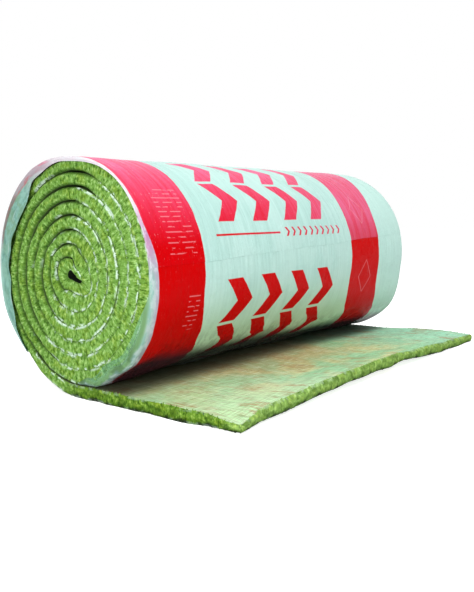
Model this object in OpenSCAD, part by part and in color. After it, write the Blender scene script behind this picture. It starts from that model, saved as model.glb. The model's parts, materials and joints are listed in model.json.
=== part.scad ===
// Insulation roll: a mineral wool mat, wound up with its last stretch unrolled as a flap,
// in a wrap of packing film that was slit along the roll to let the flap out.
// X runs along the roll's axis, the flap lies towards -Y, and Z = 0 is the floor.
// The origin is the middle of the footprint.
//
// The wound mat is a spiral of half turns about two centres, half a pitch apart in height:
// its front half turns about the upper centre and its back half about the lower one.
// Angles are measured from the top of the roll, down the front or down the back.

/* [Wool mat] */
// Width of the mat, along the roll's axis
mat_width = 1200; // [600:10:1500]
// Thickness of the mat
mat_thickness = 30; // [20:1:60]
// Slack between one turn of the roll and the next
turn_gap = 3; // [2:0.5:6]
// Number of turns in the roll
turns = 8; // [4:1:12]
// Depth of the open slack between the turns, at each end of the roll
slack_depth = 40; // [5:1:80]
// Radius of the soft edges along the two sides of the mat
edge_radius = 7; // [2:0.5:9]
// Radius of the eye, the hole left at the middle of the roll
eye_radius = 18; // [8:0.5:20]
// Reach of the unrolled flap past the front of the roll
flap_reach = 225; // [50:5:900]

/* [Film wrap] */
// Thickness of one layer of film, with the air under its creases
film_thickness = 1; // [0.5:0.1:1.5]
// Clearance between the film and the wool
film_clearance = 0.5; // [0.2:0.1:0.8]
// Reach of the film's turned-in edge over the ends of the roll
lip_reach = 22; // [12:1:60]
// Angle down the front to the film's first edge, tucked between the roll and the flap
tuck_angle = 177; // [100:1:178]
// Angle down the front to the film's outer edge, lapped over the first layer
lap_angle = 73; // [10:1:95]
// Angle down the back to the slit that lets the flap out
slit_angle = 125; // [20:1:150]

/* [Hidden] */
$fn = 96;

half_turn = 180;

pitch = mat_thickness + turn_gap;
front_radius = turns * pitch - turn_gap;
back_radius = front_radius + pitch / 2;
front_centre = pitch + front_radius;
back_centre = back_radius;
eye_height = (front_centre + back_centre) / 2;
flap_length = front_radius + flap_reach;

// The lapped film stands two layers thick, and its outer edge stops short of the inner one.
lap_thickness = 2 * film_thickness;
lip_step = 4;
back_reach = back_radius + film_clearance + lap_thickness;
axis_y = (flap_length - back_reach) / 2;

// A corner-rounded rectangle, from 0 to size.x and centred on the other axis.
module soft_rectangle(size, radius) {
  translate([0, radius - size.y / 2]) square([size.x, size.y - 2 * radius]);
  translate([radius, -size.y / 2]) square([size.x - 2 * radius, size.y]);
  for (x = [radius, size.x - radius], y = [-1, 1])
    translate([x, y * (size.y / 2 - radius)]) circle(radius);
}

// A section swept from the top down the front of the roll, about the upper centre.
module down_front(angle) {
  translate([0, axis_y, front_centre]) rotate([180, -90, 0])
    rotate_extrude(angle = angle) children();
}

// A section swept from the top down the back of the roll, about the lower centre.
module down_back(angle) {
  translate([0, axis_y, back_centre]) rotate([0, -90, 0])
    rotate_extrude(angle = angle) children();
}

// The mat cut across: its thickness outwards, its width along the axis.
module mat_section() {
  soft_rectangle([mat_thickness, mat_width], edge_radius);
}

// The wound mat cut from the eye outwards: one mat section for each turn, with the slack
// between them open for a short depth at both ends, and the first turn filled to the eye.
module wound_section(outer_radius) {
  core_width = mat_width - 2 * slack_depth;
  first_radius = outer_radius - (turns - 1) * pitch;
  for (turn = [0 : turns - 1])
    translate([outer_radius - turn * pitch - mat_thickness, 0]) mat_section();
  translate([0, -core_width / 2]) square([outer_radius - mat_thickness / 2, core_width]);
  translate([0, -mat_width / 2]) square([first_radius - edge_radius, mat_width]);
}

module eye() {
  translate([0, axis_y, eye_height]) rotate([0, 90, 0])
    cylinder(h = 2 * mat_width, r = eye_radius, center = true);
}

// The mat is one piece: the wound roll, and the flap that runs out under it.
module wool_mat() {
  color("yellowgreen")
    difference() {
      union() {
        down_front(half_turn) wound_section(front_radius);
        down_back(half_turn) wound_section(back_radius);
        translate([0, axis_y, 0]) rotate([90, -90, 0])
          linear_extrude(height = flap_length) mat_section();
      }
      eye();
    }
}

// A layer of film cut across: a sleeve round the roll whose edges turn in over the soft
// shoulders. It fills the space from one distance off the wool to another.
module film_section(roll_radius, inside, outside, reach) {
  difference() {
    soft_rectangle([roll_radius + outside, mat_width + 2 * outside], edge_radius + outside);
    soft_rectangle([roll_radius + inside, mat_width + 2 * inside], edge_radius + inside);
    translate([0, -mat_width]) square([roll_radius - reach, 2 * mat_width]);
  }
}

// One layer of film round the roll, from an angle down the front to the slit at the back.
module film_layer(front_angle, inside, outside, reach) {
  down_front(front_angle) film_section(front_radius, inside, outside, reach);
  down_back(slit_angle) film_section(back_radius, inside, outside, reach);
}

// One sheet, wound so that its outer end laps over its start: the outer layer is sunk half
// a layer into the first, because the two are one piece.
module film_wrap() {
  color("mintcream") {
    film_layer(tuck_angle, film_clearance, film_clearance + film_thickness, lip_reach);
    film_layer(lap_angle, film_clearance + film_thickness / 2,
      film_clearance + lap_thickness, lip_reach - lip_step);
  }
}

wool_mat();
film_wrap();
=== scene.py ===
import json
import math

import bpy
from mathutils import Matrix, Vector, noise


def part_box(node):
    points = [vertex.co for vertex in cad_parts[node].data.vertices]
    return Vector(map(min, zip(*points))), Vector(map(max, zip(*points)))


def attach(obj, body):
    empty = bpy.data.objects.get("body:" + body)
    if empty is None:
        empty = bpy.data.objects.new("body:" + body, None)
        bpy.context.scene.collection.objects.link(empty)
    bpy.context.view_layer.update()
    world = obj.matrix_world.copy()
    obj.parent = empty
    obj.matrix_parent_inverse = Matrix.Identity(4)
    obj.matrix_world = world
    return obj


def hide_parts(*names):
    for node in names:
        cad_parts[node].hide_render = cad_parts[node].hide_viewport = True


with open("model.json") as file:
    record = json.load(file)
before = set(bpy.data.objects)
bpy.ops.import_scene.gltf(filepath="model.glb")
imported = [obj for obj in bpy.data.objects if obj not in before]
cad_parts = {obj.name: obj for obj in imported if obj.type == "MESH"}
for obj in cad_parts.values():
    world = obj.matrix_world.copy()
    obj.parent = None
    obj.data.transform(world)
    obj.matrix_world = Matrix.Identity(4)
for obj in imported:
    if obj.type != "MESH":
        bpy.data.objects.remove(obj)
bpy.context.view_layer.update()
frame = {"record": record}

# The wool mat
# One mat of bonded mineral wool, trimmed to width at the factory and wound up from its inner end.
# Its last stretch is laid out flat, and runs back under the roll into the outermost turn.
mat_low, mat_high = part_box("wool_mat")
eye_mount = next(mount for mount in frame["record"]["mounts"] if mount["name"] == "eye")
axis_y = eye_mount["pos_m"][1]
eye_height = eye_mount["pos_m"][2]
half_width = mat_high[0]
flap_length = axis_y - mat_low[1]
mat_thickness = 0.030
turns = 8
back_radius = (mat_high[2] - mat_low[2]) / 2
pitch = 4 * (eye_height - back_radius)
front_radius = back_radius - pitch / 2
back_height = back_radius
front_height = back_radius + pitch / 2
mat_rows = 6


def ease(value, start, end):
    """Goes smoothly from 0 at the start to 1 at the end."""
    share = min(max((value - start) / (end - start), 0), 1)
    return share * share * (3 - 2 * share)


def waver(size, *place):
    """A smooth random value between about -1 and 1, which changes over the given size."""
    return noise.noise(Vector(place) / size)


# Each half turn has its side of the roll, the height of its centre, its outer radius, and where
# it starts on the flat mat. The last one is a short curl about a lower centre, round the eye.
half_turns = []
mat_length = flap_length
for turn in range(turns):
    for side, height, radius in ((1, back_height, back_radius), (-1, front_height, front_radius)):
        outer = radius - turn * pitch
        half_turns.append([side, height, outer, mat_length])
        mat_length += math.pi * (outer - mat_thickness / 2)
curl_drop = 0.004
curl_angle = math.radians(98)
half_turns[-1][1] -= curl_drop
half_turns[-1][2] += curl_drop
mat_length = half_turns[-1][3] + curl_angle * (half_turns[-1][2] - mat_thickness / 2)


def wound(along, through):
    """Place across the roll's axis of a spot on the flat mat, at a height through its thickness."""
    if along <= flap_length:
        return mat_low[1] + along, through
    side, height, outer, start = [half for half in half_turns if half[3] <= along][-1]
    angle = (along - start) / (outer - mat_thickness / 2)
    radius = outer - through
    return axis_y + side * radius * math.sin(angle), height - side * radius * math.cos(angle)


uneven_depth = 0.0035
uneven_size = 0.23
hollow_share = 0.045
far_set_in = 0.036
far_sag = 0.010
far_belly = 0.020
belly_height = 0.12
eye_slope = math.radians(27)
eye_size = 0.10
eye_stretch = 0.45
eye_closing = 0.55
eye_wide_end = 0.45


def settle(x, y, z, crush):
    """Moves a place on the true roll to where it lies on this soft one: uneven, with a crushed
    shoulder, a hollow low at the back, a far end that is set in and sags, and an eye squeezed to
    a sloping drop."""
    spot = Vector((x, y, z))
    off_y = y - axis_y
    off_z = z - eye_height
    by_near_end = 1 - ease(half_width + x, 0, 0.13)
    by_far_end = ease(x, 0, half_width)
    shift = uneven_depth * Vector([waver(uneven_size, x + apart, y, z) for apart in (0, 3, 6)])
    shift.x -= far_set_in * ease(x, -0.2, half_width)
    shoulder = crush * by_near_end * max(0, off_y * off_z) * 2 / back_radius ** 2
    shift.y -= shoulder * off_y
    shift.z -= shoulder * off_z
    shift *= ease(z, 0.03, 0.16)

    by_near_half = 1 - ease(x, -half_width, 0)
    hollow = hollow_share * by_near_half * max(0, -off_y * off_z) * 2 / back_radius ** 2
    hollow *= ease(-off_z, 0.06, 0.22)
    if off_y > 0:
        shift.y -= hollow * off_y
        shift.z -= hollow * off_z
    shift.z -= far_sag * by_far_end * (1 - ease(z, 0.10, 0.40))
    if off_y < 0:
        shift.y -= far_belly * by_far_end * (1 - ease(abs(z - belly_height), 0, 0.13))

    squeeze = 1 - ease(math.hypot(off_y, off_z), 0.012, eye_size)
    lengthwise = Vector((0, -math.cos(eye_slope), -math.sin(eye_slope)))
    crosswise = Vector((0, -math.sin(eye_slope), math.cos(eye_slope)))
    from_eye = Vector((0, off_y, off_z))
    eye_along = from_eye.dot(lengthwise)
    closed = eye_closing - eye_wide_end * ease(-eye_along, -0.006, 0.016)
    shift += lengthwise * eye_stretch * squeeze * eye_along
    shift -= crosswise * closed * squeeze * from_eye.dot(crosswise)
    return spot + shift


wool_crush = 0.055
edge_columns = [0, 0.004, 0.009, 0.016, 0.026, 0.040]
middle_columns = 18
columns = [depth - half_width for depth in edge_columns]
columns += [
    (edge_columns[-1] - half_width) * (1 - share / middle_columns)
    for share in range(1, middle_columns)
]
columns += [0] + [-x for x in reversed(columns)]
lead_steps = [0, 0.003, 0.007, 0.012, 0.018]
flap_steps = 52
inner_steps = 20
outer_steps = 56
lead = lead_steps[-1]
steps = lead_steps + [
    lead + (flap_length - lead) * step / flap_steps for step in range(1, flap_steps + 1)
]
starts = [half[3] for half in half_turns] + [mat_length]
for half, start, end in zip(half_turns, starts, starts[1:]):
    count = round(inner_steps + outer_steps * half[2] / back_radius)
    steps += [start + (end - start) * step / count for step in range(1, count + 1)]

# A modifier cuts a block into these columns, steps and rows, in the same order at each run.
bpy.ops.object.select_all(action="DESELECT")
bpy.ops.mesh.primitive_cube_add(size=1)
mat = bpy.context.object
mat.name = mat.data.name = "wool_mat_wound"
block = bpy.data.node_groups.new("block", "GeometryNodeTree")
block.interface.new_socket("Geometry", in_out="OUTPUT", socket_type="NodeSocketGeometry")
cuts = block.nodes.new("GeometryNodeMeshCube")
cuts.inputs["Vertices X"].default_value = len(columns)
cuts.inputs["Vertices Y"].default_value = len(steps)
cuts.inputs["Vertices Z"].default_value = mat_rows + 1
block.links.new(cuts.outputs["Mesh"], block.nodes.new("NodeGroupOutput").inputs[0])
subdivision = mat.modifiers.new("subdivision", "NODES")
subdivision.node_group = block
bpy.ops.object.modifier_apply(modifier=subdivision.name)

# The flat mat is wound up vertex by vertex. Its place on the flat mat stays as an attribute,
# with the way through its thickness, how thickly loose fibre stands there, and how far the turns
# stand apart: most at the back and on top, and hardly at the front.
outer_turn_end = half_turns[2][3]
curl_start = half_turns[-1][3]
long_slack = 0.0020
short_slack = 0.0016
curl_press = 0.42
tight_swell = 0.10
parted_press = 0.17
floor_press = 0.14
end_swell = 0.004
end_lumps = 0.0025
flap_lumps = 0.0035
end_rounding = 0.0060
top_wave = 0.0022
near_corner_press = 0.45
far_corner_press = 0.2
far_pinch = 0.33
lead_lift = 0.018
lead_rounding = 0.006
lead_raggedness = 0.007
lead_arches = 0.007
side_arches = 0.005
flap_askew = 0.012
mat.data.attributes.new("mat_place", "FLOAT_VECTOR", "POINT")
mat.data.attributes.new("mat_through", "FLOAT_VECTOR", "POINT")
mat.data.attributes.new("mat_tufts", "FLOAT", "POINT")
mat.data.attributes.new("mat_parted", "FLOAT", "POINT")
mat_place = mat.data.attributes["mat_place"].data
mat_through = mat.data.attributes["mat_through"].data
mat_tufts = mat.data.attributes["mat_tufts"].data
mat_parted = mat.data.attributes["mat_parted"].data
for vertex in mat.data.vertices:
    x = columns[round((vertex.co.x + 0.5) * (len(columns) - 1))]
    along = steps[round((vertex.co.y + 0.5) * (len(steps) - 1))]
    through = mat_thickness * round((vertex.co.z + 0.5) * mat_rows) / mat_rows
    mat_place[vertex.index].vector = (x, along, through)
    off_middle = abs(2 * through / mat_thickness - 1)
    true_y, true_z = wound(along, through)
    apart_at = 0.9 * (true_y - axis_y) + 0.5 * (true_z - eye_height)
    parted = ease(apart_at + 0.09 * waver(0.10, along, 0, 3), -0.08, 0.14)
    mat_parted[vertex.index].value = parted
    mat_tufts[vertex.index].value = 1 - (0.2 + 0.5 * parted) * off_middle ** 4
    if flap_length < along < outer_turn_end and through == 0:
        mat_tufts[vertex.index].value = 0

    # The turns wander, and are pressed thinner round the eye, under the roll and where they lie tight.
    slack = long_slack * waver(0.20, along, x / 3, 7) + short_slack * waver(0.05, along, x / 3, 2)
    slack *= 0.3 + 0.7 * parted
    if along < outer_turn_end:
        slack = -abs(slack)
    if along <= flap_length:
        slack = 0
    pressed = 1 - curl_press * ease(along, curl_start - 0.03, mat_length)
    if along > flap_length:
        pressed += tight_swell - parted_press * parted
        pressed -= floor_press * (1 - ease(along, flap_length + 0.16, flap_length + 0.26))
    y, z = wound(along, through * pressed - slack)
    deeper_y, deeper_z = wound(along, through + mat_thickness)
    mat_through[vertex.index].vector = Vector((0, deeper_y - y, deeper_z - z)).normalized()

    # The cut ends are uneven, and rounded off where the turns stand apart.
    depth = half_width - abs(x)
    by_cut_end = 1 - ease(depth, 0, 0.030)
    relief = end_swell * waver(0.25, along, 0, x) + end_lumps * waver(0.030, along, through, x)
    relief -= (0.0004 + end_rounding * parted) * off_middle ** 7
    if along < flap_length:
        relief += flap_lumps * waver(0.06, along, through, x)
    place = settle(x, y, z, wool_crush)
    place.x += math.copysign(1, x) * by_cut_end * relief

    # The flap lies on the floor, thin at its corners, bowed up along its ragged lead edge.
    if along < flap_length:
        to_front = 1 - ease(along, 0, 0.20)
        near_corner = (1 - ease(depth, 0, 0.11)) * (1 - ease(along, 0, 0.10)) if x < 0 else 0
        far_corner = (1 - ease(depth, 0, 0.20)) * (1 - ease(along, 0, 0.12)) if x > 0 else 0
        bow = 1 - ease(abs(x + 0.10), 0.05, 0.60)
        lift = lead_lift * bow * (1 - ease(along, 0, 0.13))
        waves = top_wave * waver(0.11, x, along, 3) * ease(flap_length - along, 0.26, 0.32)
        pinch = far_pinch * ease(x, 0, half_width)
        pinch *= ease(along, flap_length - 0.34, flap_length - 0.15)
        corners = near_corner_press * near_corner + far_corner_press * far_corner
        place.z = through * (1 - corners - pinch)
        place.z += lift + waves * through / mat_thickness
        at_front = 1 - ease(along, 0, 0.018)
        ragged = lead_raggedness * waver(0.07, x, 0, through)
        place.y += at_front * (lead_rounding * off_middle ** 4 - ragged)
        arches = lead_arches * max(0, waver(0.08, x, 3, 1)) * (1 - ease(along, 0, 0.05))
        arches += side_arches * max(0, waver(0.08, along, 5, x)) * (1 - ease(depth, 0, 0.05))
        place.z += arches * (1 - through / mat_thickness)
        place.x += flap_askew * to_front
    place.z = max(place.z, 0)
    vertex.co = place
bpy.ops.object.mode_set(mode="EDIT")
bpy.ops.mesh.select_all(action="SELECT")
bpy.ops.mesh.normals_make_consistent(inside=False)
bpy.ops.object.mode_set(mode="OBJECT")
bpy.ops.object.shade_smooth()


def tint(red, green, blue):
    """A colour as a screen shows it, from 0 to 255, in the renderer's linear values."""
    shares = [channel / 255 for channel in (red, green, blue)]
    return [s / 12.92 if s < 0.04045 else ((s + 0.055) / 1.055) ** 2.4 for s in shares] + [1]


def new_material(name):
    """A material with a bare principled shader, whose node tree the caller fills."""
    material = bpy.data.materials.new(name)
    material.use_nodes = True
    return material, material.node_tree, material.node_tree.nodes["Principled BSDF"].inputs


def put(tree, socket, value):
    """Wires a node's output to a socket, or sets the socket to a plain value."""
    if isinstance(value, bpy.types.NodeSocket):
        tree.links.new(value, socket)
    else:
        socket.default_value = value


def calc(tree, operation, first, second=0.0, third=0.0):
    """A math node on up to three numbers."""
    node = tree.nodes.new("ShaderNodeMath")
    node.operation = operation
    for socket, value in zip(node.inputs, (first, second, third)):
        put(tree, socket, value)
    return node.outputs[0]


def scaled(tree, place, scale):
    """A place with each of its axes scaled."""
    node = tree.nodes.new("ShaderNodeVectorMath")
    node.operation = "MULTIPLY"
    put(tree, node.inputs[0], place)
    node.inputs[1].default_value = scale
    return node.outputs[0]


def mottle(tree, place, scale, detail=3.0, roughness=0.55):
    """A noise between 0 and 1 on a place with scaled axes."""
    node = tree.nodes.new("ShaderNodeTexNoise")
    put(tree, node.inputs["Vector"], scaled(tree, place, scale))
    node.inputs["Scale"].default_value = 1
    node.inputs["Detail"].default_value = detail
    node.inputs["Roughness"].default_value = roughness
    return node.outputs["Fac"]


def between(tree, value, start, end, low=0.0, high=1.0):
    """A smooth step of a value, from low at the start to high at the end."""
    node = tree.nodes.new("ShaderNodeMapRange")
    node.interpolation_type = "SMOOTHSTEP"
    for name, number in (("From Min", start), ("From Max", end), ("To Min", low), ("To Max", high)):
        node.inputs[name].default_value = number
    put(tree, node.inputs["Value"], value)
    return node.outputs["Result"]


def inside(tree, value, start, end, edge):
    """1 where a value lies from start to end, with soft edges."""
    after = between(tree, value, start - edge, start + edge)
    before = between(tree, value, end - edge, end + edge, 1, 0)
    return calc(tree, "MULTIPLY", after, before)


def blend(tree, share, first, second, way="MIX"):
    """A colour between two colours."""
    node = tree.nodes.new("ShaderNodeMix")
    node.data_type = "RGBA"
    node.blend_type = way
    for socket, value in zip((node.inputs[0], node.inputs[6], node.inputs[7]), (share, first, second)):
        put(tree, socket, value)
    return node.outputs[2]


def roughen(tree, inputs, height, distance, strength=1.0):
    """Bump from a height, on the shader's normal."""
    node = tree.nodes.new("ShaderNodeBump")
    node.inputs["Strength"].default_value = strength
    node.inputs["Distance"].default_value = distance
    put(tree, node.inputs["Height"], height)
    tree.links.new(node.outputs["Normal"], inputs["Normal"])


def attribute(tree, name, output="Vector"):
    """An attribute of the mesh, as a vector or a single number."""
    node = tree.nodes.new("ShaderNodeAttribute")
    node.attribute_name = name
    return node.outputs[output]


def split(tree, place):
    """The three numbers of a vector."""
    node = tree.nodes.new("ShaderNodeSeparateXYZ")
    put(tree, node.inputs[0], place)
    return node.outputs


def wool_colour(tree):
    """The green of cut wool: strands through its thickness, lumps, a little painted light on the front,
    painted shade in the gaps between the turns, pale flecks near its skins that are partly painted
    highlight, and on the flap a warmer edge that darkens in blotches, with painted shade towards the
    floor and a painted shadow along its foot."""
    place = attribute(tree, "mat_place")
    along, through = split(tree, place)[1:]
    strands = mottle(tree, place, (330, 330, 70), 3, 0.6)
    lumps = mottle(tree, place, (105, 105, 95), 4, 0.6)
    parted = attribute(tree, "mat_parted", "Fac")
    tone = calc(tree, "MULTIPLY_ADD", lumps, 0.6, calc(tree, "MULTIPLY", strands, 0.4))
    # Painted light: a little lighter where the turns lie tight on the front and low, a little darker
    # where they stand apart at the back and on top.
    tone = calc(tree, "ADD", tone, between(tree, parted, 0, 1, 0.002, -0.006))
    colour = blend(tree, between(tree, tone, 0.38, 0.50), tint(58, 98, 26), tint(116, 163, 70))
    colour = blend(tree, between(tree, tone, 0.50, 0.62), colour, tint(172, 212, 128))
    warm = between(tree, mottle(tree, place, (34, 34, 50), 3), 0.46, 0.64, 0, 0.50)
    colour = blend(tree, warm, colour, blend(tree, 1.0, colour, tint(255, 236, 140), "MULTIPLY"))

    on_flap = between(tree, along, flap_length - 0.02, flap_length + 0.06, 1, 0)
    edge_tint = blend(tree, between(tree, along, 0.0, 0.06), tint(255, 255, 232), tint(232, 230, 172))
    colour = blend(tree, on_flap, colour, blend(tree, 1.0, colour, edge_tint, "MULTIPLY"))
    colour = blend(tree, between(tree, along, 0.01, 0.05, 0.25, 0), colour, tint(186, 212, 132))
    blotches = between(tree, mottle(tree, place, (38, 38, 60), 3, 0.6), 0.40, 0.52, 0.5, 0)
    colour = blend(tree, calc(tree, "MULTIPLY", on_flap, blotches), colour, tint(56, 92, 24))
    # Painted shade on the flap's edges: darker towards the floor, and a near black painted shadow along
    # their foot, in patches.
    painted_floor_shade = calc(tree, "MULTIPLY", on_flap, between(tree, through, 0.004, 0.022, 0.55, 0))
    colour = blend(tree, painted_floor_shade, colour, blend(tree, 1.0, colour, tint(150, 178, 120), "MULTIPLY"))
    ragged = calc(tree, "MULTIPLY_ADD", mottle(tree, place, (30, 30, 1), 3), -0.040, through)
    painted_under_shade = calc(tree, "MULTIPLY", on_flap, between(tree, ragged, -0.020, -0.011, 0.95, 0))
    colour = blend(tree, painted_under_shade, colour, tint(18, 22, 8))

    torn = mottle(tree, place, (7, 7, 8), 2)
    torn = calc(tree, "ADD", torn, between(tree, parted, 0, 1, 0.09, -0.10))
    off_middle = calc(tree, "ABSOLUTE", calc(tree, "SUBTRACT", through, mat_thickness / 2))
    near_skin = between(tree, off_middle, mat_thickness * 0.27, mat_thickness * 0.44)
    flecks = between(tree, mottle(tree, place, (52, 52, 60), 4, 0.65), 0.47, 0.57)
    # Painted shade in the gaps between the turns: darker near the skins, most where the turns stand
    # apart.
    painted_gap_shade = between(tree, parted, 0, 1, 0.08, 0.6)
    colour = blend(tree, calc(tree, "MULTIPLY", near_skin, painted_gap_shade), colour, tint(48, 84, 22))
    # Pale flecks near the skins: partly the pale skin itself, and partly a painted highlight where light
    # catches the turns' edges, more where the turns lie tight on the front and low.
    pale = calc(tree, "MULTIPLY", near_skin, flecks)
    pale = calc(tree, "MULTIPLY", pale, between(tree, torn, 0.50, 0.58))
    pale = calc(tree, "MULTIPLY", pale, calc(tree, "MULTIPLY_ADD", on_flap, -0.7, 0.95))
    return blend(tree, pale, colour, tint(218, 242, 222)), tone


wool_cut, tree, inputs = new_material("wool_cut")
colour, tone = wool_colour(tree)
put(tree, inputs["Base Color"], colour)
inputs["Roughness"].default_value = 0.95
inputs["Specular IOR Level"].default_value = 0.15
roughen(tree, inputs, tone, 0.006)

# The mat's skin: pressed smooth, beige, with mint patches, and brown stains and streaks on them, with
# painted shade near and under the roll and in the eye.
wool_skin, tree, inputs = new_material("wool_skin")
place = attribute(tree, "mat_place")
across, forward = split(tree, place)[:2]
long_streaks = mottle(tree, place, (150, 9, 40), 6, 0.7)
fine_streaks = mottle(tree, place, (560, 26, 40), 3, 0.65)
cross_streaks = mottle(tree, place, (22, 420, 40), 3, 0.65)
patches = mottle(tree, place, (7, 9, 5), 4, 0.6)
rust_spots = mottle(tree, place, (18, 10, 7), 4, 0.62)
mint = calc(tree, "ADD", patches, between(tree, across, 0.1, 0.6, 0.0, 0.20))
mint = calc(tree, "ADD", mint, between(tree, forward, 0.02, 0.16, 0.06, 0))
colour = blend(tree, between(tree, mint, 0.42, 0.60), tint(212, 216, 156), tint(148, 216, 166))
corner = between(tree, across, -0.5, -0.1, 0.7, 0)
corner = calc(tree, "MULTIPLY", corner, between(tree, forward, 0.06, 0.26, 1, 0))
colour = blend(tree, corner, colour, tint(232, 250, 214))
colour = blend(tree, between(tree, across, -0.52, -0.26, 0.6, 0), colour, tint(176, 232, 168))
brown = calc(tree, "MULTIPLY", inside(tree, across, -0.35, 0.15, 0.15), 0.5)
brown = calc(tree, "MULTIPLY", brown, inside(tree, forward, 0.16, 0.40, 0.07))
colour = blend(tree, brown, colour, tint(178, 146, 92))
back_brown = between(tree, forward, 0.20, 0.34)
back_brown = calc(tree, "MULTIPLY", back_brown, between(tree, across, 0.0, 0.3, 0.5, 0))
colour = blend(tree, back_brown, colour, tint(168, 128, 82))
colour = blend(tree, between(tree, across, 0.14, 0.55, 0, 0.80), colour, tint(168, 240, 212))
colour = blend(tree, between(tree, long_streaks, 0.48, 0.62, 0, 0.45), colour, tint(222, 232, 198))
rust = between(tree, rust_spots, 0.50, 0.64, 0, 0.75)
rust = calc(tree, "MULTIPLY", rust, between(tree, long_streaks, 0.38, 0.58))
colour = blend(tree, rust, colour, tint(170, 122, 74))
colour = blend(tree, between(tree, fine_streaks, 0.36, 0.54, 0.6, 0), colour, tint(122, 132, 84))
colour = blend(tree, between(tree, cross_streaks, 0.36, 0.52, 0.4, 0), colour, tint(134, 124, 80))
colour = blend(tree, between(tree, cross_streaks, 0.54, 0.66, 0, 0.5), colour, tint(220, 242, 210))
# Painted shadow of the roll on the flap: darker brown towards the roll, and a darker streaky green where
# the skin runs in under it.
shade = between(tree, forward, flap_length - 0.22, flap_length - 0.13, 0, 0.72)
colour = blend(tree, shade, colour, tint(46, 38, 28))
painted_under_shade = between(tree, forward, flap_length - 0.10, flap_length + 0.10)
colour = blend(tree, painted_under_shade, colour, blend(tree, long_streaks, tint(44, 66, 22), tint(110, 142, 74)))
# Painted shade in the eye: the skin at the mat's inner end is near black.
painted_eye_shade = between(tree, forward, mat_length - 0.25, mat_length - 0.12)
colour = blend(tree, painted_eye_shade, colour, tint(14, 20, 8))
put(tree, inputs["Base Color"], colour)
inputs["Roughness"].default_value = 0.8
inputs["Specular IOR Level"].default_value = 0.25
roughen(tree, inputs, calc(tree, "ADD", fine_streaks, long_streaks), 0.0012)

# The cut block brings an empty slot along, which would come before these two.
mat.data.materials.clear()
mat.data.materials.append(wool_cut)
mat.data.materials.append(wool_skin)
skin_slot = 1
mat_place = mat.data.attributes["mat_place"].data
for face in mat.data.polygons:
    heights = [mat_place[index].vector.z for index in face.vertices]
    if max(heights) - min(heights) < mat_thickness / mat_rows / 2:
        face.material_index = skin_slot

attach(mat, "root")
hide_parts("wool_mat")

# The loose fibres
# The mat's cut faces are a nap of torn fibre in flat clumps, most of them lying through its thickness.
# They are still bonded to it at their roots, on the roll's two ends, the flap's edges and in the eye.
clump_length = 0.010
clump_width = 0.0030
clump_ridge = 0.0011
clump_dip = 0.0013
clump_segments = 3
clump_nod = 0.14
clump_roll = 0.22
floor_clearance = 0.0003


def model_clump():
    """One flat clump of fibre: narrow at both tips, with a ridge, and bowed down at its tips."""
    bpy.ops.object.select_all(action="DESELECT")
    bpy.ops.mesh.primitive_grid_add(size=1, x_subdivisions=2, y_subdivisions=clump_segments)
    clump = bpy.context.object
    for vertex in clump.data.vertices:
        to_tip = abs(2 * vertex.co.y)
        ridge = clump_ridge * (1 - abs(2 * vertex.co.x))
        vertex.co.z = ridge * (1 - 0.7 * to_tip) - clump_dip * to_tip ** 2
        vertex.co.x *= clump_width * (1 - 0.8 * to_tip ** 2)
        vertex.co.y *= clump_length
    return clump


def field(tree, kind, **settings):
    """A node of the fibre tree, set up."""
    node = tree.nodes.new(kind)
    for name, value in settings.items():
        setattr(node, name, value)
    return node


def stored(tree, name, kind):
    """An attribute stored on the mat, for the fibre tree."""
    node = field(tree, "GeometryNodeInputNamedAttribute", data_type=kind)
    node.inputs["Name"].default_value = name
    return node.outputs[0]


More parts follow.
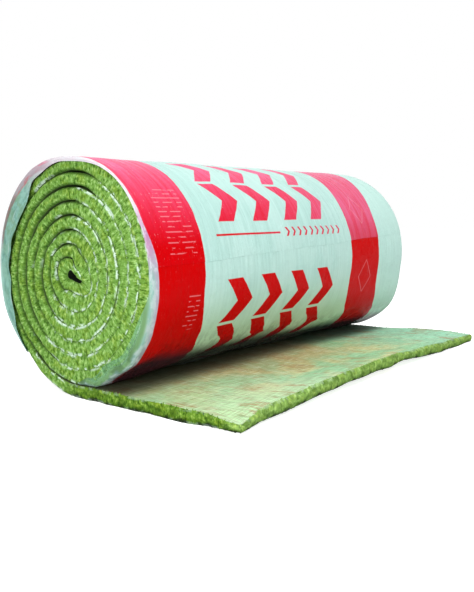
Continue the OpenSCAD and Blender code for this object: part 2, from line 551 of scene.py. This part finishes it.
def fibre_tree(clump, density, swing, sizes, seed):
    """Nodes that lay clumps on a cut face, swung off the way through the mat's thickness."""
    tree = bpy.data.node_groups.new("fibres", "GeometryNodeTree")
    tree.interface.new_socket("Geometry", in_out="INPUT", socket_type="NodeSocketGeometry")
    tree.interface.new_socket("Geometry", in_out="OUTPUT", socket_type="NodeSocketGeometry")
    face = field(tree, "NodeGroupInput")
    spots = field(tree, "GeometryNodeDistributePointsOnFaces")
    thickly = field(tree, "ShaderNodeMath", operation="MULTIPLY")
    put(tree, thickly.inputs[0], stored(tree, "mat_tufts", "FLOAT"))
    thickly.inputs[1].default_value = density
    put(tree, spots.inputs["Mesh"], face.outputs[0])
    put(tree, spots.inputs["Density"], thickly.outputs[0])
    spots.inputs["Seed"].default_value = seed
    upright = field(tree, "FunctionNodeAlignRotationToVector", axis="Z")
    put(tree, upright.inputs["Vector"], spots.outputs["Normal"])
    lengthwise = field(tree, "FunctionNodeAlignRotationToVector", axis="Y", pivot_axis="Z")
    put(tree, lengthwise.inputs["Rotation"], upright.outputs[0])
    put(tree, lengthwise.inputs["Vector"], stored(tree, "mat_through", "FLOAT_VECTOR"))
    tilt = field(tree, "FunctionNodeRandomValue", data_type="FLOAT_VECTOR")
    tilt.inputs["Min"].default_value = (-clump_nod, -clump_roll, -swing)
    tilt.inputs["Max"].default_value = (clump_nod, clump_roll, swing)
    tilt.inputs["Seed"].default_value = seed + 1
    as_turn = field(tree, "FunctionNodeEulerToRotation")
    put(tree, as_turn.inputs[0], tilt.outputs[0])
    turned = field(tree, "FunctionNodeRotateRotation", rotation_space="LOCAL")
    put(tree, turned.inputs[0], lengthwise.outputs[0])
    put(tree, turned.inputs[1], as_turn.outputs[0])
    size = field(tree, "FunctionNodeRandomValue", data_type="FLOAT")
    size.inputs[2].default_value = sizes[0]
    size.inputs[3].default_value = sizes[1]
    size.inputs["Seed"].default_value = seed + 2
    shape = field(tree, "GeometryNodeObjectInfo")
    shape.inputs["Object"].default_value = clump
    laid = field(tree, "GeometryNodeInstanceOnPoints")
    put(tree, laid.inputs["Points"], spots.outputs["Points"])
    put(tree, laid.inputs["Instance"], shape.outputs["Geometry"])
    put(tree, laid.inputs["Rotation"], turned.outputs[0])
    put(tree, laid.inputs["Scale"], size.outputs[1])
    made = field(tree, "GeometryNodeRealizeInstances")
    put(tree, made.inputs[0], laid.outputs[0])
    finished = field(tree, "NodeGroupOutput")
    put(tree, finished.inputs[0], made.outputs[0])
    return tree


def grow_fibres(name, chosen, density, swing, sizes, seed):
    """Fibres on the cut faces whose corners all lie at chosen places of the flat mat."""
    bpy.ops.object.select_all(action="DESELECT")
    fibres = mat.copy()
    fibres.data = mat.data.copy()
    fibres.name = fibres.data.name = name
    bpy.context.collection.objects.link(fibres)
    fibres.select_set(True)
    bpy.context.view_layer.objects.active = fibres
    bpy.ops.object.mode_set(mode="EDIT")
    bpy.ops.mesh.select_mode(type="FACE")
    bpy.ops.mesh.select_all(action="DESELECT")
    bpy.ops.object.mode_set(mode="OBJECT")
    places = fibres.data.attributes["mat_place"].data
    for face in fibres.data.polygons:
        face.select = not all(chosen(*places[index].vector[:2]) for index in face.vertices)
    bpy.ops.object.mode_set(mode="EDIT")
    bpy.ops.mesh.delete(type="FACE")
    bpy.ops.object.mode_set(mode="OBJECT")
    growth = fibres.modifiers.new("growth", "NODES")
    growth.node_group = fibre_tree(clump, density, swing, sizes, seed)
    bpy.ops.object.modifier_apply(modifier=growth.name)
    for vertex in fibres.data.vertices:
        vertex.co.z = max(vertex.co.z, floor_clearance)
    fibres.data.materials.clear()
    fibres.data.materials.append(wool_cut)
    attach(fibres, "root")


tolerance = 1e-5


def at_near_end(x, along):
    """Whether a place is on the near cut end of the wound part."""
    return x < tolerance - half_width and along > flap_length - tolerance


def at_far_end(x, along):
    """Whether a place is on the far cut end of the wound part."""
    return x > half_width - tolerance and along > flap_length - tolerance


def at_flap_edge(x, along):
    """Whether a place is on one of the flap's three cut edges."""
    return along < tolerance or (abs(x) > half_width - tolerance and along < flap_length + tolerance)


def at_inner_edge(x, along):
    """Whether a place is on the mat's inner cut edge, in the eye."""
    return along > mat_length - tolerance


clump = model_clump()
# How many clumps stand on a square metre, how far they swing, and their smallest and largest scale.
roll_nap = (22000, 1.2, (0.4, 1.1))
flap_nap = (110000, 1.3, (0.35, 1.0))
grow_fibres("fibres_near_end", at_near_end, *roll_nap, 11)
grow_fibres("fibres_far_end", at_far_end, *roll_nap, 23)
grow_fibres("fibres_flap_edges", at_flap_edge, *flap_nap, 37)
grow_fibres("fibres_inner_edge", at_inner_edge, *flap_nap, 41)
bpy.data.objects.remove(clump)

# The film wrap
# One sheet of printed packing film, wound round the roll so that its outer end laps over its start.
# It was slit along the back to let the flap out, and its edges are drawn in over the roll's ends.
film_thickness = 0.0004
film_gap = 0.0012
film_crush = -0.035
tuck = math.radians(177) * front_radius
lap = math.radians(82) * front_radius
lap_slant = 0.024
slit = math.radians(136) * back_radius
lip_start = half_width - 0.006
lip_bend = 0.009
lip_ripple = 0.004
lap_lip_step = 0.003
lap_rise = 1.3 * film_thickness
lip_crumple = 9
back_lip_crumple = 3
long_wrinkles = 0.0011
short_wrinkles = 0.0009
fold_height = 0.009
slit_lift = 0.005
slit_wave = 0.004
film_columns = 104
film_rows_per_metre = 105
near_lip_shares = [1, 0.88, 0.76, 0.64, 0.53, 0.43, 0.34, 0.25, 0.12]
far_lip_shares = [0.15, 0.3, 0.48, 0.66, 0.83, 1]


def along_stops(value, stops):
    """Goes smoothly from stop to stop, each of them a place and the value there."""
    for (start, low), (end, high) in zip(stops, stops[1:]):
        if value <= end:
            return low + (high - low) * ease(value, start, end)
    return stops[-1][1]


# By the angle down the front in degrees, with negative angles down the back: how far the near
# edge stands straight out, how far it is drawn past its bend, and how far it leans in there.
near_out = [(-136, 0.002), (-100, 0.004), (-10, 0.004), (30, 0)]
near_reach = [(-136, 0.022), (-115, 0.042), (-90, 0.054), (-60, 0.068), (-45, 0.066), (-25, 0.036)]
near_reach += [(0, 0.015), (40, 0.007), (95, 0.008), (118, 0.030), (150, 0.040), (168, 0.026)]
near_reach += [(177, 0.012)]
near_lean = [(-136, 60), (-110, 86), (-20, 84), (0, 80), (40, 55), (95, 60), (118, 90), (150, 95)]
far_reach = [(-136, 0.018), (0, 0.020), (177, 0.024)]
far_lean = [(-136, 78), (0, 86), (177, 90)]


def film_lift(x, down):
    """How far the film stands off the wool: taut on top, slack and folded low on the front."""
    taut = long_wrinkles * abs(waver(0.05, x, down / 7, 1))
    taut += short_wrinkles * abs(waver(0.03, x, down / 2, 4))
    slack = ease(down, 0.50, 0.66) * (1 - ease(down, 0.74, 0.80))
    folds = fold_height * slack * max(0, waver(0.06, x / 2.4, down + 0.3 * x, 5) + 0.12)
    loose = ease(-down, slit - 0.10, slit) * (slit_lift + slit_wave * waver(0.16, x, 0, 9))
    loose *= ease(x, -half_width, -half_width + 0.3)
    return film_gap + taut + folds + loose


def wrapped(x, down, lift, out, drawn_in):
    """Place on the roll of a spot on the flat film, past the bend by how far it is out and in."""
    radius, height, side = (front_radius, front_height, -1) if down > 0 else (back_radius, back_height, 1)
    angle = abs(down) / radius
    radius += lift - drawn_in
    y = axis_y + side * radius * math.sin(angle)
    return settle(x + math.copysign(out, x), y, height + radius * math.cos(angle), film_crush)


def lay_film(name, front_end, layer):
    """One layer of the film, from its front end over the top to the slit at the back."""
    rows = round((front_end + slit) * film_rows_per_metre)
    spread = len(near_lip_shares) + film_columns + len(far_lip_shares)
    bpy.ops.object.select_all(action="DESELECT")
    bpy.ops.mesh.primitive_grid_add(size=1, x_subdivisions=spread, y_subdivisions=rows)
    film = bpy.context.object
    film.name = film.data.name = name
    film.data.attributes.new("film_place", "FLOAT_VECTOR", "POINT")
    film_place = film.data.attributes["film_place"].data
    for vertex in film.data.vertices:
        column = round((vertex.co.x + 0.5) * spread)
        slant = layer * lap_slant * (1 - 2 * column / spread)
        down = -slit + (front_end + slant + slit) * (vertex.co.y + 0.5)
        degrees = math.degrees(down / (front_radius if down > 0 else back_radius))
        ripple = lip_ripple * waver(0.12, down, 0, 2)
        if abs(vertex.co.y) > 0.499:
            down += lip_ripple * waver(0.15, column / 100, down, 6)
        body_column = min(max(column - len(near_lip_shares), 0), film_columns)
        x = lip_start * (2 * body_column / film_columns - 1)
        reach, lean, share, stand = 0, 0, 0, 0
        if column < len(near_lip_shares):
            share = near_lip_shares[column]
            stand = along_stops(degrees, near_out) * min(1, 4 * share)
            reach = along_stops(degrees, near_reach) + ripple
            crumple = lip_crumple + back_lip_crumple * ease(-down, 0, 0.15)
            lean = along_stops(degrees, near_lean) + crumple * waver(0.07, down, 4, 0)
        elif column > len(near_lip_shares) + film_columns:
            share = far_lip_shares[column - len(near_lip_shares) - film_columns - 1]
            reach = along_stops(degrees, far_reach) + ripple
            lean = along_stops(degrees, far_lean) + lip_crumple * waver(0.09, down, 8, 0)
        reach -= lap_lip_step * layer * share
        lean = math.radians(lean)
        bent = min(share * reach / lip_bend, lean)
        straight = share * reach - bent * lip_bend
        out = lip_bend * math.sin(bent) + straight * math.cos(bent)
        drawn_in = lip_bend * (1 - math.cos(bent)) + straight * math.sin(bent)
        over = layer * lap_rise
        lift = film_lift(x, down) + over * math.cos(bent)
        vertex.co = wrapped(x, down, lift, stand + out + over * math.sin(bent), drawn_in)
        past_end = math.copysign(stand + share * reach, x)
        film_place[vertex.index].vector = (x + past_end + half_width, down, layer)
    bpy.ops.object.mode_set(mode="EDIT")
    bpy.ops.mesh.select_all(action="SELECT")
    bpy.ops.mesh.normals_make_consistent(inside=False)
    bpy.ops.object.mode_set(mode="OBJECT")
    return film


lap_layer = lay_film("film_lap", lap, 1)
film = lay_film("film_sheet", tuck, 0)
lap_layer.select_set(True)
bpy.ops.object.join()
wall = film.modifiers.new("wall", "SOLIDIFY")
wall.thickness = film_thickness
wall.offset = 0
bpy.ops.object.modifier_apply(modifier=wall.name)
bpy.ops.object.shade_smooth_by_angle(angle=math.radians(50))

# The print: a red band near each end, and between them rows of bold red chevrons and a thin rule.
# Places are measured from the near edge of the mat and from the top of the roll down the front.
# The print wanders a little, and more where the film is slack low on the front.
film_print, tree, inputs = new_material("film_print")
place = attribute(tree, "film_place")
along, down, layer = split(tree, place)
low = between(tree, down, 0.54, 0.66)
wander = calc(tree, "SUBTRACT", mottle(tree, place, (16, 16, 1), 4, 0.6), 0.5)
wide = calc(tree, "MULTIPLY_ADD", low, 0.055, 0.008)
along = calc(tree, "MULTIPLY_ADD", wander, wide, along)
shift_down = calc(tree, "SUBTRACT", mottle(tree, place, (11, 19, 4), 3, 0.6), 0.5)
print_down = calc(tree, "MULTIPLY_ADD", shift_down, calc(tree, "MULTIPLY", low, 0.05), down)
print_edge = 0.0012
chevron_slope = 0.85


def chevrons(tree, top, height, start, end, step, width):
    """A row of chevrons that point along the roll."""
    off_middle = calc(tree, "ABSOLUTE", calc(tree, "SUBTRACT", print_down, top + height / 2))
    point = calc(tree, "MULTIPLY_ADD", off_middle, -chevron_slope, chevron_slope * height / 2)
    from_start = calc(tree, "MODULO", calc(tree, "SUBTRACT", along, start), step)
    arm = inside(tree, calc(tree, "SUBTRACT", from_start, point), 0.004, width, print_edge)
    row = inside(tree, print_down, top, top + height, print_edge)
    row = calc(tree, "MULTIPLY", row, inside(tree, along, start, end, print_edge))
    return calc(tree, "MULTIPLY", arm, row)


near_start = between(tree, down, 0.28, 0.42, 0.007, 0.024)
near_edge = calc(tree, "SUBTRACT", along, near_start)
far_edge = calc(tree, "SUBTRACT", along, between(tree, down, 0.45, 0.60, 0.172, 0.200))
near_band = between(tree, near_edge, -print_edge, print_edge)
near_band = calc(tree, "MULTIPLY", near_band, between(tree, far_edge, -print_edge, print_edge, 1, 0))
lip_stripe = inside(tree, along, -0.024, -0.004, 0.003)
lip_stripe = calc(tree, "MULTIPLY", lip_stripe, inside(tree, down, -0.36, -0.06, 0.03))
glimpse = between(tree, mottle(tree, place, (150, 22, 1), 4, 0.65), 0.50, 0.62, 0, 0.5)
marks = calc(tree, "MAXIMUM", near_band, calc(tree, "MULTIPLY", lip_stripe, glimpse))
far_along = calc(tree, "SUBTRACT", along, between(tree, down, 0.48, 0.66, 0, 0.05))
far_start = calc(tree, "SUBTRACT", far_along, between(tree, down, 0.06, 0.32, 0.880, 0.852))
far_end = calc(tree, "SUBTRACT", far_along, between(tree, down, 0.06, 0.32, 1.090, 1.034))
far_band = between(tree, far_start, -print_edge, print_edge)
far_band = calc(tree, "MULTIPLY", far_band, between(tree, far_end, -print_edge, print_edge, 1, 0))
marks = calc(tree, "MAXIMUM", marks, far_band)
for repeat in (-0.740, -0.370, 0, 0.370):
    for top in (repeat + 0.062, repeat + 0.184):
        bold_row = chevrons(tree, top, 0.113, 0.245, 0.775, 0.1325, 0.062)
        marks = calc(tree, "MAXIMUM", marks, bold_row)
    rule = inside(tree, down, repeat + 0.327, repeat + 0.332, print_edge)
    rule = calc(tree, "MULTIPLY", rule, inside(tree, along, 0.225, 0.480, print_edge))
    marks = calc(tree, "MAXIMUM", marks, rule)
    small_row = chevrons(tree, repeat + 0.316, 0.024, 0.500, 0.800, 0.030, 0.013)
    marks = calc(tree, "MAXIMUM", marks, small_row)

# Over the bands: broken rows of fine pale lines on the near one, and two pale diamonds on the far one.
lines = inside(tree, calc(tree, "MODULO", down, 0.012), 0.004, 0.0065, 0.0008)
lines = calc(tree, "MULTIPLY", lines, between(tree, mottle(tree, place, (45, 83, 1), 1), 0.45, 0.49))
upper_lines = inside(tree, along, 0.064, 0.150, print_edge)
upper_lines = calc(tree, "MULTIPLY", upper_lines, inside(tree, down, 0.205, 0.375, print_edge))
lower_lines = inside(tree, along, 0.122, 0.160, print_edge)
lower_lines = calc(tree, "MULTIPLY", lower_lines, inside(tree, down, 0.455, 0.545, print_edge))
details = calc(tree, "MULTIPLY", lines, calc(tree, "MAXIMUM", upper_lines, lower_lines))
for middle in (0.265, 0.475):
    off_along = calc(tree, "ABSOLUTE", calc(tree, "SUBTRACT", along, 0.948))
    off_down = calc(tree, "ABSOLUTE", calc(tree, "SUBTRACT", down, middle))
    from_middle = calc(tree, "MULTIPLY_ADD", off_along, 1.25, off_down)
    details = calc(tree, "MAXIMUM", details, inside(tree, from_middle, 0.047, 0.051, print_edge))

# The unprinted film: milky and streaked, lighter towards the far end as a painted highlight, greener low
# on the front as a painted reflection of the flap, and violet to mint on its rim, the violet a painted
# pink reflection.
streaks = mottle(tree, place, (95, 5, 1), 5, 0.6)
glint_noise = mottle(tree, place, (260, 60, 1), 4, 0.7)
clouds = mottle(tree, place, (7, 5, 1), 3)
white = blend(tree, between(tree, streaks, 0.30, 0.70), tint(168, 206, 198), tint(184, 220, 213))
white = blend(tree, between(tree, clouds, 0.35, 0.65, 0, 0.4), white, tint(200, 227, 221))
# Painted highlight: the film is lighter towards the far end.
white = blend(tree, between(tree, along, 0.75, 1.05, 0, 0.5), white, tint(196, 232, 222))
# Painted reflection of the flap: greener low on the front, less so at the far end.
painted_flap_reflection = between(tree, down, 0.42, 0.62, 0, 0.6)
painted_flap_reflection = calc(tree, "MULTIPLY", painted_flap_reflection, between(tree, along, 0.9, 1.1, 1, 0.3))
white = blend(tree, painted_flap_reflection, white, tint(204, 226, 184))
crumples = mottle(tree, place, (60, 30, 1), 4, 0.65)
# The rim by the near end: pale lilac at the top and violet by the band, a painted pink reflection, then
# mint lower down.
rim_tint = blend(tree, between(tree, down, 0.24, 0.31), tint(216, 206, 214), tint(186, 136, 174))
rim_tint = blend(tree, between(tree, down, 0.34, 0.43), rim_tint, tint(150, 190, 182))
fringe = between(tree, near_edge, -0.018, -0.004, 0, 0.8)
fringe = calc(tree, "MULTIPLY", fringe, between(tree, down, 0.32, 0.42))
rim_tint = blend(tree, fringe, rim_tint, tint(182, 166, 190))
rim_tint = blend(tree, between(tree, crumples, 0.44, 0.60, 0, 0.55), rim_tint, tint(214, 220, 224))
rim = between(tree, along, 0.020, 0.034, 0.95, 0)
rim = calc(tree, "MULTIPLY", rim, between(tree, down, -0.25, -0.05))
white = blend(tree, rim, white, rim_tint)

# The near lip: teal and crumpled down the back, with painted highlights on its crumples, a dull strip on
# its fold, and green low in front.
inner = between(tree, along, -0.024, -0.008, 0.8, 0)
inner = calc(tree, "MULTIPLY", inner, between(tree, down, -0.20, -0.06, 1, 0))
inner_tint = blend(tree, between(tree, crumples, 0.36, 0.58), tint(84, 142, 126), tint(132, 186, 170))
thin_patches = between(tree, mottle(tree, place, (34, 20, 1), 4, 0.65), 0.45, 0.55, 0, 0.6)
thin_patches = calc(tree, "MULTIPLY", thin_patches, between(tree, down, -0.40, -0.30, 0.4, 1))
inner_tint = blend(tree, thin_patches, inner_tint, tint(108, 150, 96))
# Painted highlights: pale streaks on the lip's crumples.
inner_tint = blend(tree, between(tree, streaks, 0.52, 0.68, 0, 0.7), inner_tint, tint(214, 234, 230))
white = blend(tree, inner, white, inner_tint)
dull = inside(tree, down, -0.34, -0.22, 0.02)
stripe_tint = blend(tree, dull, tint(170, 140, 156), tint(112, 62, 66))
white = blend(tree, calc(tree, "MULTIPLY", lip_stripe, 0.65), white, stripe_tint)
low_front = between(tree, down, 0.36, 0.50)
veil = calc(tree, "MULTIPLY", between(tree, along, -0.006, 0.004, 1, 0), low_front)
veil_tint = blend(tree, between(tree, along, -0.020, -0.010), tint(144, 204, 160), tint(128, 172, 120))
white = blend(tree, veil, white, veil_tint)

# The red: paled to pink on the lapped layer, more to the top and to the far end, a painted sheen where
# the film catches the light; and with painted glints.
painted_lap_sheen = calc(tree, "MULTIPLY", layer, between(tree, down, 0.27, 0.36, 1, 0.1))
red = blend(tree, painted_lap_sheen, tint(200, 1, 3), tint(212, 12, 36))
to_far = between(tree, along, 0.2, 0.9)
# Painted sheen: paler pink towards the top and the far end, on the lapped layer.
painted_far_sheen = calc(tree, "MULTIPLY", to_far, between(tree, down, 0.26, 0.37, 0.68, 0.34))
painted_sheen = calc(tree, "MAXIMUM", between(tree, down, 0.04, 0.36, 0.8, 0), painted_far_sheen)
painted_sheen = calc(tree, "MULTIPLY", painted_sheen, between(tree, down, -0.14, -0.04))
painted_sheen = calc(tree, "MULTIPLY", painted_sheen, between(tree, streaks, 0.34, 0.62, 0.5, 1))
painted_sheen = calc(tree, "MULTIPLY", painted_sheen, layer)
red = blend(tree, painted_sheen, red, blend(tree, to_far, tint(240, 120, 168), tint(226, 122, 164)))
# Painted glints: small pale flecks where the crinkled film catches the light, more on the lapped layer.
painted_glints = calc(tree, "MULTIPLY_ADD", layer, 0.35, 0.12)
painted_glints = calc(tree, "MULTIPLY", painted_glints, between(tree, glint_noise, 0.62, 0.72))
red = blend(tree, painted_glints, red, tint(250, 200, 208))
red = blend(tree, calc(tree, "MULTIPLY", details, 0.30), red, tint(248, 196, 206))
colour = blend(tree, marks, white, red)

# Low on the front the film is wrinkled, with painted shade in its creases, and near black painted shade
# where it runs in under the roll.
in_under = calc(tree, "SUBTRACT", down, between(tree, along, 0.1, 0.9, 0, 0.03))
# Painted shade in the creases low on the front.
painted_crease_shade = between(tree, in_under, 0.54, 0.62)
painted_crease_shade = calc(tree, "MULTIPLY", painted_crease_shade, between(tree, crumples, 0.42, 0.54, 0.45, 0))
darker = blend(tree, 1.0, colour, tint(120, 128, 120), "MULTIPLY")
colour = blend(tree, painted_crease_shade, colour, darker)
# Painted shade: near black where the film runs in under the roll.
in_under = calc(tree, "MULTIPLY_ADD", crumples, 0.05, calc(tree, "SUBTRACT", in_under, 0.025))
painted_crevice_shade = between(tree, in_under, 0.590, 0.650, 0, 0.92)
painted_crevice_shade = calc(tree, "MULTIPLY", painted_crevice_shade, between(tree, along, 0.012, 0.035))
colour = blend(tree, painted_crevice_shade, colour, tint(36, 36, 46))
put(tree, inputs["Base Color"], colour)
put(tree, inputs["Roughness"], between(tree, clouds, 0.3, 0.7, 0.20, 0.36))
inputs["Specular IOR Level"].default_value = 0.02

# Past the mat's edges the film is thin and lets the wool show, most of all low on the front.
past_edge = calc(tree, "SUBTRACT", 1, inside(tree, split(tree, place)[0], 0.001, 1.199, 0.006))
seen_through = between(tree, down, 0.3, 0.5, 0.12, 1)
thin = between(tree, streaks, 0.3, 0.7, 0.66, 0.92)
thin = calc(tree, "MULTIPLY", thin, between(tree, along, -0.022, -0.010, 1, 0.4))
clear = calc(tree, "MULTIPLY", past_edge, thin)
clear = calc(tree, "MULTIPLY", clear, seen_through)
put(tree, inputs["Alpha"], calc(tree, "SUBTRACT", 1, clear))
long_creases = mottle(tree, place, (130, 14, 1), 4, 0.6)
short_creases = mottle(tree, place, (40, 60, 1), 4, 0.65)
roughen(tree, inputs, calc(tree, "ADD", long_creases, short_creases), 0.0016)
film.data.materials.append(film_print)

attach(film, "root")
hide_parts("film_wrap")

# The studio
# A plain pale floor under soft light, seen from where the photograph was taken.
bpy.ops.object.select_all(action="DESELECT")
bpy.ops.mesh.primitive_plane_add(size=30, location=(0, 0, 0))
floor = bpy.context.object
floor.name = floor.data.name = "floor"


def seen(tree):
    """1 where the camera looks, directly or by a reflection or through something clear."""
    rays = tree.nodes.new("ShaderNodeLightPath").outputs
    reflected = calc(tree, "MAXIMUM", rays["Is Glossy Ray"], rays["Is Transmission Ray"])
    return calc(tree, "MAXIMUM", rays["Is Camera Ray"], reflected)


floor_material = bpy.data.materials.new("pale_floor")
floor_material.use_nodes = True
tree = floor_material.node_tree
tree.nodes.clear()
matt = tree.nodes.new("ShaderNodeBsdfDiffuse")
matt.inputs["Color"].default_value = (0.80, 0.80, 0.80, 1)
glow = tree.nodes.new("ShaderNodeEmission")
put(tree, glow.inputs["Strength"], calc(tree, "MULTIPLY", seen(tree), 0.81))
both = tree.nodes.new("ShaderNodeAddShader")
tree.links.new(matt.outputs[0], both.inputs[0])
tree.links.new(glow.outputs[0], both.inputs[1])
surface = tree.nodes.new("ShaderNodeOutputMaterial")
tree.links.new(both.outputs[0], surface.inputs["Surface"])
floor.data.materials.append(floor_material)

world = bpy.data.worlds.new("studio")
bpy.context.scene.world = world
world.use_nodes = True
tree = world.node_tree
sky_level = 0.26
sky = tree.nodes["Background"].inputs
sky["Color"].default_value = (1, 1, 1, 1)
put(tree, sky["Strength"], calc(tree, "MULTIPLY_ADD", seen(tree), 1 - sky_level, sky_level))


def soft_box(name, place, aim, size, power):
    """A large square lamp that faces a point."""
    lamp = bpy.data.objects.new(name, bpy.data.lights.new(name, "AREA"))
    bpy.context.collection.objects.link(lamp)
    lamp.data.size = size
    lamp.data.energy = power
    lamp.location = place
    lamp.rotation_euler = (Vector(aim) - Vector(place)).to_track_quat("-Z", "Y").to_euler()


soft_box("key_light", (-0.7, -2.0, 3.3), (0, -0.1, 0.2), 2.0, 106)
soft_box("top_light", (0.2, 0.9, 2.8), (0, 0, 0.3), 2.0, 28)
soft_box("end_light", (-3.0, -0.9, 0.6), (-0.6, 0.1, 0.2), 1.2, 46)

camera_place = Vector((-1.5994, -1.1966, 0.4215))
camera_turn = math.radians(51.018)
camera_dip = math.radians(6.700)
camera_lean = math.radians(-0.737)
focal_pixels = 696.06
picture_height = 592
film_back = 36
camera = bpy.data.objects.new("camera", bpy.data.cameras.new("camera"))
bpy.context.collection.objects.link(camera)
camera.data.sensor_width = film_back
camera.data.lens = focal_pixels * film_back / picture_height
camera.location = camera_place
camera.rotation_euler = (
    Matrix.Rotation(-camera_turn, 3, "Z")
    @ Matrix.Rotation(math.pi / 2 - camera_dip, 3, "X")
    @ Matrix.Rotation(camera_lean, 3, "Z")
).to_euler()
bpy.context.scene.camera = camera

bpy.context.scene.view_settings.view_transform = "Standard"
